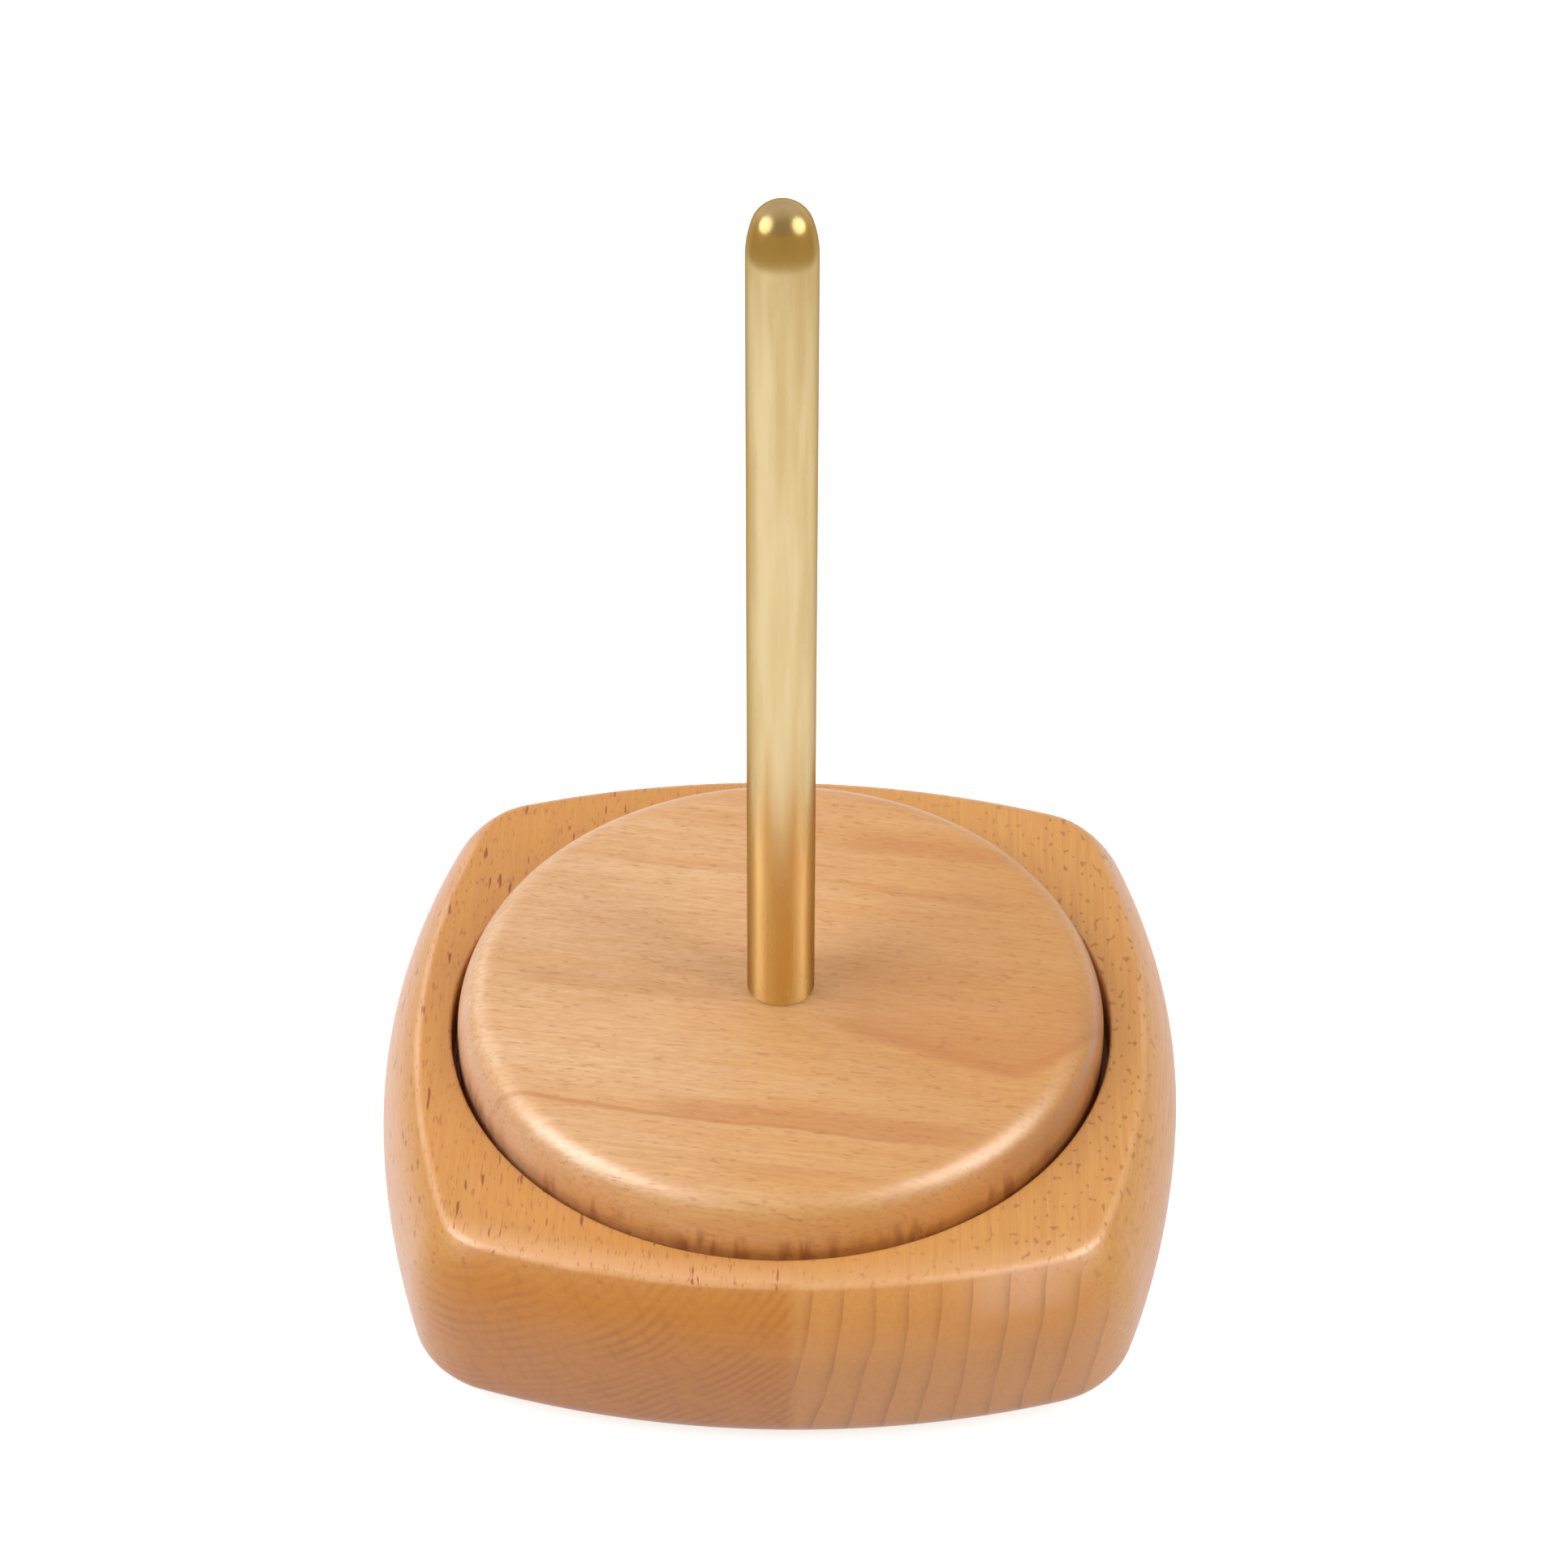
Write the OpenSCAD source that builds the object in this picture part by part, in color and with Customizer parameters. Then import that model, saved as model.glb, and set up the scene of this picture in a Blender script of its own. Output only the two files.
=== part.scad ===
// Yarn holder: a beech block with a turntable on a ball bearing, and a brass spindle on the turntable.
// The origin is on the table under the spindle's axis, +Z is up and -Y is the front.

/* [Base block] */
// Width of the block across its bulged sides
block_w = 120; // [118:1:150]
// Thickness of the block without its feet
block_h = 28.5; // [26:0.5:36]
// Radius of the long arc of each side, seen from above
side_r = 140; // [110:5:200]
// Radius of the upright corners, seen from above
corner_r = 16; // [13:0.5:22]
// How far the middle of the wall bulges past its ends
wall_crown = 1.6; // [0.8:0.1:2.4]
// How far inside the block's widest line its flat top ends
top_in = 6.7; // [6:0.1:8]
// Radius of the tight arc at the block's upper edge
top_round = 2.5; // [1.5:0.5:4]
// Radius of the long arc that leads from the upper edge down to the wall
shoulder_r = 18; // [14:0.5:20]
// Rounding of the block's lower edge
low_round = 5; // [3:0.5:7]
// Rounding of the recess's mouth
mouth_round = 0.5; // [0.2:0.1:0.9]

/* [Feet] */
// Diameter of each foot
foot_d = 12; // [8:0.5:16]
// Thickness of each foot
foot_t = 2; // [1.5:0.1:3]
// How deep each foot is let into the block
foot_let_in = 0.5; // [0.3:0.1:1]
// From the block's widest line to the middle of a foot
foot_inset = 24; // [22:0.5:30]

/* [Turntable] */
// Diameter of the turntable
disc_d = 97; // [90:0.5:98]
// Thickness of the turntable
disc_t = 14; // [12:0.5:16]
// Height of the turntable's top above the block's top
disc_rise = 7.5; // [6:0.5:10]
// Width of the turntable's rounded edge, seen from above
edge_w = 5.6; // [5.2:0.1:6.2]
// Height of the turntable's rounded edge
edge_h = 7.4; // [6.5:0.1:9]
// Radius of the tight arc at the top of the rounded edge
edge_r = 4.9; // [4:0.1:5]
// Rounding of the turntable's lower edge
under_round = 1; // [0.4:0.1:2]
// Gap between the turntable and the wall of its recess
rim_gap = 1; // [0.6:0.1:1.4]
// Gap between the turntable and the floor of its recess
floor_gap = 1.5; // [1:0.1:2.5]

/* [Spindle] */
// Diameter of the spindle
rod_d = 10; // [8:0.5:12]
// Height of the spindle above the turntable
rod_h = 141; // [100:1:200]
// How much less the radius of the spindle's round end is than the spindle's own
tip_in = 0.6; // [0.2:0.1:1.5]
// Radius of the long arc that leads from the spindle's side to its round end
tip_long_r = 18; // [10:1:30]
// Diameter of the stud that joins the spindle to the hub
stud_d = 6; // [4:0.5:6]
// How far the stud goes into the spindle
stud_in_rod = 12; // [8:0.5:20]
// How far the stud goes into the hub
stud_in_hub = 7; // [5:0.5:7.5]

/* [Bearing] */
// Outer diameter of the bearing
bearing_d = 22; // [21:0.5:24]
// Bore of the bearing
bearing_bore = 8; // [7.5:0.5:9]
// Width of the bearing
bearing_w = 7; // [6.8:0.1:8]
// Diameter of the balls
ball_d = 3.969; // [3.8:0.001:4.1]
// Number of balls
ball_count = 7; // [5:1:7]
// Depth of the ball groove in each ring
groove_depth = 0.55; // [0.4:0.05:0.7]
// Thickness of each shield
shield_t = 0.3; // [0.2:0.05:0.35]
// How far each shield lies below the ring's face
shield_inset = 0.25; // [0.15:0.05:0.3]
// How much wider the shield's seat is than the outer ring's bore, on the radius
shield_seat = 0.7; // [0.5:0.05:0.8]
// Thickness of the cage's web over the balls
cage_web = 0.6; // [0.4:0.05:0.65]
// How far the cage reaches below the middle of the balls
cage_skirt = 1; // [0.6:0.1:1.4]

/* [Retainer plate] */
// Diameter of the plate that holds the bearing down
retainer_d = 40; // [37:0.5:44]
// Thickness of the plate
retainer_t = 1.6; // [1.4:0.1:2]
// Number of screws in the plate
retainer_count = 3; // [3:1:6]
// Radius of the ring of screws in the plate
retainer_screw_at = 15.5; // [14.5:0.25:16]
// Diameter of the plate's screws
retainer_screw_d = 2.5; // [2:0.1:3]
// Head diameter of the plate's screws
retainer_head_d = 5; // [4.6:0.1:5.2]
// Length of the plate's screws
retainer_screw_l = 10; // [8:0.5:14]

/* [Hub] */
// Diameter of the hub's flange
hub_d = 36; // [34:0.5:44]
// Thickness of the hub's flange
hub_flange_t = 3; // [2.4:0.1:3.5]
// Diameter of the hub's boss inside the turntable
boss_d = 14; // [10:0.5:16]
// Height of the boss above the flange
boss_h = 5; // [4.5:0.5:7]
// Number of wood screws in the flange
hub_count = 3; // [3:1:6]
// Radius of the ring of wood screws in the flange
hub_screw_at = 13; // [12:0.25:13.5]
// Diameter of the hub's wood screws
hub_wood_screw_d = 3; // [2.5:0.1:3.5]
// Head diameter of the hub's wood screws
hub_wood_head_d = 6; // [5.4:0.1:6.5]
// Length of the hub's wood screws
hub_wood_screw_l = 10; // [8:0.5:11.5]
// Diameter of the screw under the hub
hub_screw_d = 5; // [4:0.5:6]
// Length of that screw below its head
hub_screw_l = 11; // [9:0.5:11.5]
// Diameter of that screw's head
hub_head_d = 9.2; // [8.5:0.1:10.5]
// Height of that screw's head
hub_head_h = 2.8; // [2.2:0.1:3.5]
// Size of that screw's hexagon socket, across its corners
hub_socket = 3.4; // [2.6:0.1:4]
// Thickness of the washer
washer_t = 1; // [0.8:0.1:1.5]
// Thickness of the split lock washer
lock_t = 1.2; // [0.8:0.1:1.5]
// Width of the lock washer's section, on the radius
lock_w = 2; // [1.5:0.1:2.4]
// Width of the lock washer's split
lock_split = 0.8; // [0.5:0.1:1.5]

/* [Access plug] */
// Diameter of the plug's flange
plug_d = 24; // [23:0.5:28]
// Thickness of the plug's flange
plug_t = 1; // [0.8:0.1:2]
// How far the plug's skirt reaches into the access hole
plug_skirt = 3; // [2:0.5:4]
// Wall of the plug's skirt
plug_wall = 1.2; // [1:0.1:2]

/* [Fits] */
// Clearance between a ball and its grooves and cage
ball_gap = 0.12; // [0.08:0.01:0.16]
// Clearance between the inner ring and what passes close by it
ring_gap = 0.3; // [0.2:0.05:0.4]
// Clearance on the radius where a piece is let into wood
wood_gap = 0.1; // [0:0.05:0.3]
// Clearance at the closed end of a tapped hole
tap_gap = 1; // [0.5:0.1:1.5]
// Clearance left under the inner ring, so that the washer clamps it
clamp_gap = 0.3; // [0.2:0.05:0.5]

/* [Hidden] */
$fn = 96;
// How far a cutting shape runs past what it cuts
cut = 1;
// Where two round surfaces would only touch, one stands this proud of the other, so that they cross
proud = 0.02;
// Steps in which the arcs of the block's outline are drawn
side_steps = 12;
corner_steps = 9;
// Steps in which the arcs of its wall are drawn
low_steps = 5;
wall_steps = 4;
shoulder_steps = 7;
top_steps = 5;
// Length of a wood screw's tip, in diameters of the screw
tip_part = 1.2;
// Width and length of the cross slot in its head, in diameters of the head, and depth in heights of it
slot_w_part = 0.14;
slot_l_part = 0.6;
slot_deep_part = 0.7;
// Depth of a hexagon socket, in heights of the head
socket_part = 0.6;
// Height of a foot's bevelled rim, in thicknesses of the foot
foot_rim_part = 0.25;

// Levels, from the table up
block_z = foot_t - foot_let_in;
block_top = block_z + block_h;
disc_top = block_top + disc_rise;
disc_z = disc_top - disc_t;
recess_z = disc_z - floor_gap;
bearing_top = recess_z - retainer_t;
bearing_z = bearing_top - bearing_w;
bearing_mid = bearing_top - bearing_w / 2;
washer_z = bearing_z - washer_t;
lock_z = washer_z - lock_t;
boss_top = disc_z + hub_flange_t + boss_h;

// The block's outline: four side arcs, each tangent to the corner arcs beside it
side_c = block_w / 2 - side_r;
side_reach = side_r - corner_r;
corner_c = (side_c + sqrt(2 * pow(side_reach, 2) - pow(side_c, 2))) / 2;
side_span = atan2(corner_c, corner_c - side_c);

// The block's wall, measured outward from its widest line and upward from its underside: a shallow
// crowned arc, touched by the lower rounding below and by the shoulder above, which meets the tight arc.
// Each arc has its middle, and a tilt is the angle at which two of them touch
wall_r = (pow(block_h / 2, 2) + pow(wall_crown, 2)) / (2 * wall_crown);
wall_c = [-wall_r, block_h / 2];
low_in = wall_r - sqrt(pow(wall_r - low_round, 2) - pow(block_h / 2 - low_round, 2));
low_c = [-low_in, low_round];
low_tilt = tilt(wall_c, low_c);
top_c = [-top_in, block_h - top_round];
top_reach = norm(top_c - wall_c);
to_shoulder = wall_r - shoulder_r;
shoulder_cos = (pow(to_shoulder, 2) + pow(top_reach, 2) - pow(shoulder_r - top_round, 2))
    / (2 * to_shoulder * top_reach);
shoulder_tilt = tilt(wall_c, top_c) - acos(shoulder_cos);
shoulder_c = wall_c + to_shoulder * [cos(shoulder_tilt), sin(shoulder_tilt)];
top_tilt = tilt(shoulder_c, top_c);

// The turntable
disc_r = disc_d / 2;
recess_r = disc_r + rim_gap;
// Radius of the long arc in its edge, tangent to the tight one and upright where the edge is widest
edge_long_r = (pow(edge_w, 2) + pow(edge_h, 2) - 2 * edge_h * edge_r) / (2 * (edge_w - edge_r));

// The bearing
pitch_r = (bearing_d + bearing_bore) / 4;
ball_r = ball_d / 2;
inner_land_r = pitch_r - ball_r + groove_depth;
outer_land_r = pitch_r + ball_r - groove_depth;
seat_r = outer_land_r + shield_seat;
seat_h = shield_inset + shield_t;
groove_r = ball_r + ball_gap;
cage_in_r = inner_land_r + ring_gap;
cage_out_r = outer_land_r - ring_gap;

// The hole under the bearing clears the shield, and leaves a ledge for the outer ring
ledge_r = seat_r - 2 * ring_gap;
collar_r = inner_land_r - ring_gap;

WOOD = "#d39b5f";
PALE_WOOD = "#dcab74";
BRASS = "#d0b36a";
STEEL = "#b9bcc0";
ZINC = "#a9adb0";
NYLON = "#e8e2d0";
RUBBER = "#3a3a3a";

FEET = [[-1, -1], [1, -1], [-1, 1], [1, 1]];

// The direction from one point to another
function tilt(from, to) = atan2(to[1] - from[1], to[0] - from[0]);

// Points along an arc, without its last one
function arc(c, r, from, to, steps) = [
    for (i = [0 : steps - 1]) let (a = from + (to - from) * i / steps) c + r * [cos(a), sin(a)]
];

// A point turned about the origin
function turned(p, a) = [p[0] * cos(a) - p[1] * sin(a), p[0] * sin(a) + p[1] * cos(a)];

// The block's outline, moved outward
function outline(out) = [
    for (turn = [0 : 90 : 270]) each concat(
        arc(
            turned([0, side_c], turn), side_r + out,
            turn + 90 - side_span, turn + 90 + side_span, side_steps
        ),
        arc(
            turned([-corner_c, corner_c], turn), corner_r + out,
            turn + 90 + side_span, turn + 180 - side_span, corner_steps
        )
    )
];

// The wall's section from the underside to the top
function wall_section() = concat(
    arc(low_c, low_round, -90, low_tilt, low_steps),
    arc(wall_c, wall_r, low_tilt, shoulder_tilt, wall_steps),
    arc(shoulder_c, shoulder_r, shoulder_tilt, top_tilt, shoulder_steps),
    arc(top_c, top_round, top_tilt, 90, top_steps),
    [[-top_in, block_h]]
);

// Copies of a child around the spindle's axis
module around(count, at) {
    for (i = [0 : count - 1]) rotate(i * 360 / count) translate([at, 0, 0]) children();
}

// A flat ring from height z up
module ring(out_r, in_r, z, h) {
    translate([0, 0, z]) difference() {
        cylinder(r = out_r, h = h);
        translate([0, 0, -cut]) cylinder(r = in_r, h = h + 2 * cut);
    }
}

// The part of a disc that lies right of its centre and above height z
module rounding(r, z) {
    intersection() {
        circle(r);
        translate([0, z]) square(r + cut);
    }
}

// The block before anything is cut into it: its outline at every level of its wall
module block_body() {
    wall = wall_section();
    count = len(outline(0));
    last = (len(wall) - 1) * count;
    polyhedron(
        points = [for (p = wall) each [for (q = outline(p[0])) [q[0], q[1], p[1]]]],
        faces = concat(
            [[for (i = [0 : count - 1]) i], [for (i = [count - 1 : -1 : 0]) last + i]],
            [
                for (row = [0 : count : last - count], i = [0 : count - 1])
                    let (next = (i + 1) % count)
                    [row + i, row + count + i, row + count + next, row + next]
            ]
        )
    );
}

// Where a foot stands, seen from above
module at_foot(side) {
    at = block_w / 2 - foot_inset;
    translate([side[0] * at, side[1] * at, 0]) children();
}

// A countersunk wood screw that points down, with the flat of its head at height 0 and no slot yet
module wood_screw_shape(d, head_d, l) {
    head_h = (head_d - d) / 2;
    tip_h = tip_part * d;
    translate([0, 0, -head_h]) cylinder(d1 = d, d2 = head_d, h = head_h);
    translate([0, 0, tip_h - l]) cylinder(d = d, h = l - tip_h - head_h);
    translate([0, 0, -l]) cylinder(d1 = 0, d2 = d, h = tip_h);
}

module wood_screw(d, head_d, l) {
    head_h = (head_d - d) / 2;
    slot_w = slot_w_part * head_d;
    slot_l = slot_l_part * head_d;
    difference() {
        wood_screw_shape(d, head_d, l);
        for (turn = [0, 90]) rotate(turn)
            translate([-slot_l / 2, -slot_w / 2, -slot_deep_part * head_h]) cube([slot_l, slot_w, head_h]);
    }
}

// The room that such a screw takes, open above its head
module wood_screw_hole(d, head_d, l) {
    wood_screw_shape(d, head_d, l);
    cylinder(d = head_d, h = cut);
}

module base_block() {
    color(WOOD) difference() {
        translate([0, 0, block_z]) block_body();
        // Recess of the turntable, with a softened mouth
        translate([0, 0, recess_z]) cylinder(r = recess_r, h = block_h);
        translate([0, 0, block_top - mouth_round]) rotate_extrude() difference() {
            translate([recess_r - cut, 0]) square([cut + mouth_round, mouth_round + cut]);
            translate([recess_r + mouth_round, 0]) circle(mouth_round);
        }
        // Seats of the retainer plate and the bearing, and the access hole below them
        translate([0, 0, bearing_top]) cylinder(r = retainer_d / 2 + wood_gap, h = block_h);
        translate([0, 0, bearing_z]) cylinder(d = bearing_d, h = block_h);
        translate([0, 0, block_z - cut]) cylinder(r = ledge_r, h = block_h);
        translate([0, 0, block_z - cut]) cylinder(r = plug_d / 2 + wood_gap, h = plug_t + cut);
        for (side = FEET) at_foot(side)
            translate([0, 0, block_z - cut]) cylinder(r = foot_d / 2 + wood_gap, h = foot_let_in + cut);
        retainer_screw_places() wood_screw_hole(retainer_screw_d, retainer_head_d, retainer_screw_l);
    }
}

module foot(side) {
    rim = foot_rim_part * foot_t;
    color(RUBBER) at_foot(side) {
        cylinder(d1 = foot_d - 2 * rim, d2 = foot_d, h = rim);
        translate([0, 0, rim]) cylinder(d = foot_d, h = foot_t - rim);
    }
}
module foot_front_left() { foot(FEET[0]); }
module foot_front_right() { foot(FEET[1]); }
module foot_rear_left() { foot(FEET[2]); }
module foot_rear_right() { foot(FEET[3]); }

module bearing_outer_ring() {
    color(STEEL) translate([0, 0, bearing_mid]) rotate_extrude() difference() {
        translate([outer_land_r, -bearing_w / 2]) square([bearing_d / 2 - outer_land_r, bearing_w]);
        translate([pitch_r, 0]) circle(groove_r);
        for (up = [-1, 1]) translate([outer_land_r - cut, up * bearing_w / 2 - seat_h])
            square([shield_seat + cut, 2 * seat_h]);
    }
}

module bearing_inner_ring() {
    color(STEEL) translate([0, 0, bearing_mid]) rotate_extrude() difference() {
        translate([bearing_bore / 2, -bearing_w / 2]) square([inner_land_r - bearing_bore / 2, bearing_w]);
        translate([pitch_r, 0]) circle(groove_r);
    }
}

module shield(z) {
    color(ZINC) ring(seat_r, inner_land_r + ring_gap, z, shield_t);
}
module bearing_upper_shield() { shield(bearing_top - seat_h); }
module bearing_lower_shield() { shield(bearing_z + shield_inset); }

module ball_places() {
    translate([0, 0, bearing_mid]) around(ball_count, pitch_r) children();
}

module bearing_balls() {
    color(STEEL) ball_places() sphere(ball_r);
}

module bearing_cage() {
    color(NYLON) difference() {
        ring(cage_out_r, cage_in_r, bearing_mid - cage_skirt, cage_skirt + groove_r + cage_web);
        ball_places() sphere(groove_r);
    }
}

module retainer_screw_places() {
    around(retainer_count, retainer_screw_at) translate([0, 0, recess_z]) children();
}

module bearing_retainer() {
    color(ZINC) difference() {
        ring(retainer_d / 2, seat_r + wood_gap, bearing_top, retainer_t);
        retainer_screw_places() wood_screw_hole(retainer_screw_d, retainer_head_d, retainer_screw_l);
    }
}

module retainer_screws() {
    color(BRASS) retainer_screw_places() wood_screw(retainer_screw_d, retainer_head_d, retainer_screw_l);
}

module access_plug() {
    color(RUBBER) {
        translate([0, 0, block_z]) cylinder(d = plug_d, h = plug_t);
        ring(ledge_r, ledge_r - plug_wall, block_z + plug_t, plug_skirt);
    }
}

// Section of the turntable's solid wood, to the right of its axis
module disc_section() {
    tight = [disc_r - edge_w, disc_t - edge_r];
    long = [disc_r - edge_long_r, disc_t - edge_h];
    grow = edge_long_r / (edge_long_r - edge_r);
    touch = long + (tight - long) * grow;
    polygon([
        [0, 0], [disc_r - under_round, 0], [disc_r, under_round], [disc_r, long[1]],
        touch, [tight[0] + proud, disc_t], [0, disc_t]
    ]);
    translate(tight + [proud, 0]) rounding(edge_r, 0);
    intersection() {
        translate(long) circle(edge_long_r, $fn = 2 * $fn);
        translate([tight[0], long[1]]) square([edge_w + cut, touch[1] - long[1]]);
    }
    translate([disc_r - under_round, under_round]) mirror([0, 1]) rounding(under_round, 0);
}

module turntable_disc() {
    color(PALE_WOOD) difference() {
        translate([0, 0, disc_z]) rotate_extrude($fn = 2 * $fn) disc_section();
        translate([0, 0, disc_z - cut]) cylinder(r = hub_d / 2 + wood_gap, h = hub_flange_t + cut);
        translate([0, 0, disc_z]) cylinder(r = boss_d / 2 + wood_gap, h = hub_flange_t + boss_h);
        translate([0, 0, disc_z]) cylinder(r = stud_d / 2 + wood_gap, h = disc_t + cut);
        hub_screw_places() wood_screw_hole(hub_wood_screw_d, hub_wood_head_d, hub_wood_screw_l);
    }
}

module hub_screw_places() {
    around(hub_count, hub_screw_at) translate([0, 0, disc_z]) mirror([0, 0, 1]) children();
}

// Section of the spindle, to the right of its axis
module rod_section() {
    rod_r = rod_d / 2;
    tip_r = rod_r - tip_in;
    tip_run = sqrt(pow(tip_long_r - tip_r, 2) - pow(tip_long_r - rod_r, 2)) + proud;
    tip_z = rod_h - tip_r;
    side_h = tip_z - tip_run;
    touch_up = tip_r * tip_run / (tip_long_r - tip_r);
    square([rod_r, side_h]);
    intersection() {
        translate([rod_r - tip_long_r, side_h]) circle(tip_long_r, $fn = 4 * $fn);
        translate([0, side_h]) square([rod_d, tip_run + touch_up]);
    }
    translate([0, tip_z]) rounding(tip_r, 0);
}

module spindle_rod() {
    color(BRASS) translate([0, 0, disc_top]) difference() {
        rotate_extrude() rod_section();
        translate([0, 0, -cut]) cylinder(d = stud_d, h = stud_in_rod + tap_gap + cut);
    }
}

module rod_stud() {
    low = boss_top - stud_in_hub;
    color(ZINC) translate([0, 0, low]) cylinder(d = stud_d, h = disc_top + stud_in_rod - low);
}

module turntable_hub() {
    journal_z = bearing_z + clamp_gap;
    screw_top = lock_z + hub_screw_l;
    color(STEEL) difference() {
        union() {
            translate([0, 0, journal_z]) cylinder(d = bearing_bore, h = disc_z - journal_z);
            translate([0, 0, bearing_top]) cylinder(r = collar_r, h = disc_z - bearing_top);
            translate([0, 0, disc_z]) cylinder(d = hub_d, h = hub_flange_t);
            translate([0, 0, disc_z]) cylinder(d = boss_d, h = hub_flange_t + boss_h);
        }
        translate([0, 0, journal_z - cut]) cylinder(d = hub_screw_d, h = screw_top - journal_z + cut);
        translate([0, 0, boss_top - stud_in_hub]) cylinder(d = stud_d, h = stud_in_hub + cut);
        hub_screw_places() wood_screw_hole(hub_wood_screw_d, hub_wood_head_d, hub_wood_screw_l);
    }
}

module hub_screws() {
    color(ZINC) hub_screw_places() wood_screw(hub_wood_screw_d, hub_wood_head_d, hub_wood_screw_l);
}

module hub_washer() {
    color(ZINC) ring(collar_r, hub_screw_d / 2 + wood_gap, washer_z, washer_t);
}

module hub_lock_washer() {
    in_r = hub_screw_d / 2 + wood_gap;
    color(ZINC) difference() {
        ring(in_r + lock_w, in_r, lock_z, lock_t);
        translate([0, -lock_split / 2, lock_z - cut])
            cube([in_r + lock_w + cut, lock_split, lock_t + 2 * cut]);
    }
}

module hub_screw() {
    head_z = lock_z - hub_head_h;
    socket_h = socket_part * hub_head_h;
    color(ZINC) difference() {
        union() {
            translate([0, 0, head_z])
                cylinder(d1 = hub_head_d - hub_head_h, d2 = hub_head_d, h = hub_head_h);
            translate([0, 0, lock_z]) cylinder(d = hub_screw_d, h = hub_screw_l);
        }
        translate([0, 0, head_z - cut]) cylinder(d = hub_socket, h = socket_h + cut, $fn = 6);
    }
}

base_block();
foot_front_left();
foot_front_right();
foot_rear_left();
foot_rear_right();
bearing_outer_ring();
bearing_upper_shield();
bearing_lower_shield();
bearing_retainer();
retainer_screws();
access_plug();
turntable_disc();
spindle_rod();
rod_stud();
turntable_hub();
hub_screws();
bearing_inner_ring();
hub_washer();
hub_lock_washer();
hub_screw();
bearing_cage();
bearing_balls();
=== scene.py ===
from math import acos, atan2, cos, degrees, hypot, pi, radians, sin, sqrt

import bmesh
import bpy
from mathutils import Matrix, Vector


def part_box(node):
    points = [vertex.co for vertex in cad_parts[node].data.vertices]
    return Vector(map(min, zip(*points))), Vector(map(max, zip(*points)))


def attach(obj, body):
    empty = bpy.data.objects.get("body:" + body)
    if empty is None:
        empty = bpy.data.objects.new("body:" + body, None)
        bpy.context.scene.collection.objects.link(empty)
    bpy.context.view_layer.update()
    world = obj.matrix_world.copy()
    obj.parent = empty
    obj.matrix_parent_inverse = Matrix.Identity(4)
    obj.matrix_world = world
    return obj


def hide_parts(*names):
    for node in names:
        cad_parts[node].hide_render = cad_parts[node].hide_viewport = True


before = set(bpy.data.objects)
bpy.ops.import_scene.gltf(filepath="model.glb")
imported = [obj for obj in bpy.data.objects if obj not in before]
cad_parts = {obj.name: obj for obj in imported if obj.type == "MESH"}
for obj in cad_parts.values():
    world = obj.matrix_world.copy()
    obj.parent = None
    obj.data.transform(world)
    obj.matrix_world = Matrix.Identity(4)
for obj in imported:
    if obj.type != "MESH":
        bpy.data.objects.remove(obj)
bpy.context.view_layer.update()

# Sizes are in millimetres and angles in degrees, most of them under the CAD source's names. Meshes
# are made in metres
MM = 0.001


def box_mm(node):
    """A CAD node's lowest and highest corners, in millimetres."""
    low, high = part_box(node)
    return low / MM, high / MM


# What the frame gives
block_low, block_high = box_mm("base_block")
disc_low, disc_high = box_mm("turntable_disc")
rod_low, rod_high = box_mm("spindle_rod")
foot_low, foot_high = box_mm("foot_front_left")
ring_low, ring_high = box_mm("bearing_outer_ring")
plug_low, plug_high = box_mm("access_plug")
plate_low, plate_high = box_mm("bearing_retainer")
hub_low, hub_high = box_mm("turntable_hub")
stud_low, stud_high = box_mm("rod_stud")

# Block
BLOCK_W = block_high.x - block_low.x
BLOCK_H = block_high.z - block_low.z
SIDE_R = 140
CORNER_R = 16
WALL_CROWN = 1.6
TOP_IN = 6.7
TOP_ROUND = 2.5
SHOULDER_R = 18
LOW_ROUND = 5
MOUTH_ROUND = 0.5
FOOT_AT = (foot_low.x + foot_high.x) / 2
FEET = ((-1, -1), (1, -1), (-1, 1), (1, 1))

# Turntable
DISC_R = (disc_high.x - disc_low.x) / 2
DISC_T = disc_high.z - disc_low.z
EDGE_W = 5.6
EDGE_H = 7.4
EDGE_R = 4.9
UNDER_ROUND = 1
RIM_GAP = 1
FLOOR_GAP = 1.5
FLANGE_T = 3
BOSS_R = 7

# Spindle
ROD_R = (rod_high.x - rod_low.x) / 2
ROD_BEVEL = 0.15
TIP_IN = 0.6
TIP_R = ROD_R - TIP_IN
TIP_LONG_R = 18
STUD_R = (stud_high.x - stud_low.x) / 2
TAP_GAP = 1

# Hidden bores
WOOD_GAP = 0.1
PLUG_T = 1
LEDGE_R = 9.03
PLATE_SCREW = dict(at=15.5, d=2.5, head_d=5, length=10)
HUB_SCREW = dict(at=13, d=3, head_d=6, length=10)
SCREW_TURNS = (0, 120, 240)
# Length of a wood screw's tip, in diameters of the screw
TIP_PART = 1.2
# How far a cutting shape runs past what it cuts
CUT = 1

# How finely the meshes are drawn
SIDE_STEPS = 40
CORNER_STEPS = 24
ROUND_STEPS = 12
WALL_STEPS = 12
MOUTH_STEPS = 6
CIRCLE_STEPS = 256
ROD_STEPS = 96
HOLE_STEPS = 48
# A line of points this near a rounding keeps the flat beside it flat
KEEP_FLAT = 0.3
SHARP_ANGLE = 32


def arc(centre, radius, start, end, steps):
    """Points along an arc, both ends included."""
    turns = [radians(start + (end - start) * i / steps) for i in range(steps + 1)]
    return [(centre[0] + radius * cos(t), centre[1] + radius * sin(t)) for t in turns]


def turned(point, angle):
    """A point turned about the origin."""
    t = radians(angle)
    return point[0] * cos(t) - point[1] * sin(t), point[0] * sin(t) + point[1] * cos(t)


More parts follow.
